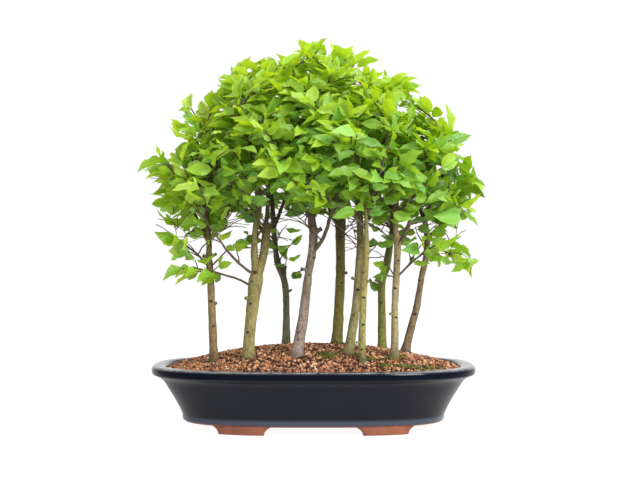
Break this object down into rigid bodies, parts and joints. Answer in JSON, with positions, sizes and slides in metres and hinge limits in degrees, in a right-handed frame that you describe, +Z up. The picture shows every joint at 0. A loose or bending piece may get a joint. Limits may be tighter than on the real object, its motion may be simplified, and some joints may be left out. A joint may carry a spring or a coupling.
{
  "type": "european nettle tree forest bonsai in an oval pot",
  "caption": "Forest planting of slender nettle trees with a rounded leafy crown, in gritty soil in a glazed oval pot on feet.",
  "frame": {"origin": "middle of the footprint, on the surface that the pot's feet stand on", "axes": "+X along the pot's length to the right seen from the front, +Y to the back, +Z up"},
  "size_m": [0.55, 0.408, 0.604],
  "materials": {
    "pot_glaze": "dark navy gloss glaze",
    "bare_clay": "unglazed red clay, matt",
    "soil_grit": "coarse red-brown grains, matt",
    "mesh_plastic": "moulded mesh, matt",
    "bark": "smooth grey-olive bark, matt",
    "leaf_green": "thin green leaf, satin",
    "moss": "short green moss, matt"
  },
  "bodies": {
    "root": {"drain_screen_left": "mesh_plastic", "drain_screen_right": "mesh_plastic", "pot": "pot_glaze", "soil": "soil_grit", "tree_01_spray_1": "leaf_green", "tree_01_spray_2": "leaf_green", "tree_01_spray_3": "leaf_green", "tree_01_spray_4": "leaf_green", "tree_01_spray_5": "leaf_green", "tree_01_wood": "bark", "tree_02_spray_1": "leaf_green", "tree_02_spray_2": "leaf_green", "tree_02_spray_3": "leaf_green", "tree_02_spray_4": "leaf_green", "tree_02_spray_5": "leaf_green", "tree_02_wood": "bark", "tree_03_spray_1": "leaf_green", "tree_03_spray_2": "leaf_green", "tree_03_spray_3": "leaf_green", "tree_03_spray_4": "leaf_green", "tree_03_spray_5": "leaf_green", "tree_03_wood": "bark", "tree_04_spray_1": "leaf_green", "tree_04_spray_2": "leaf_green", "tree_04_spray_3": "leaf_green", "tree_04_spray_4": "leaf_green", "tree_04_spray_5": "leaf_green", "tree_04_wood": "bark", "tree_05_spray_1": "leaf_green", "tree_05_spray_2": "leaf_green", "tree_05_spray_3": "leaf_green", "tree_05_spray_4": "leaf_green", "tree_05_wood": "bark", "tree_06_spray_1": "leaf_green", "tree_06_spray_2": "leaf_green", "tree_06_spray_3": "leaf_green", "tree_06_wood": "bark", "tree_07_spray_1": "leaf_green", "tree_07_spray_2": "leaf_green", "tree_07_spray_3": "leaf_green", "tree_07_spray_4": "leaf_green", "tree_07_wood": "bark", "tree_08_spray_1": "leaf_green", "tree_08_spray_2": "leaf_green", "tree_08_spray_3": "leaf_green", "tree_08_spray_4": "leaf_green", "tree_08_wood": "bark", "tree_09_spray_1": "leaf_green", "tree_09_spray_2": "leaf_green", "tree_09_spray_3": "leaf_green", "tree_09_wood": "bark", "tree_10_spray_1": "leaf_green", "tree_10_spray_2": "leaf_green", "tree_10_spray_3": "leaf_green", "tree_10_spray_4": "leaf_green", "tree_10_spray_5": "leaf_green", "tree_10_wood": "bark"}
  },
  "joints": []
}
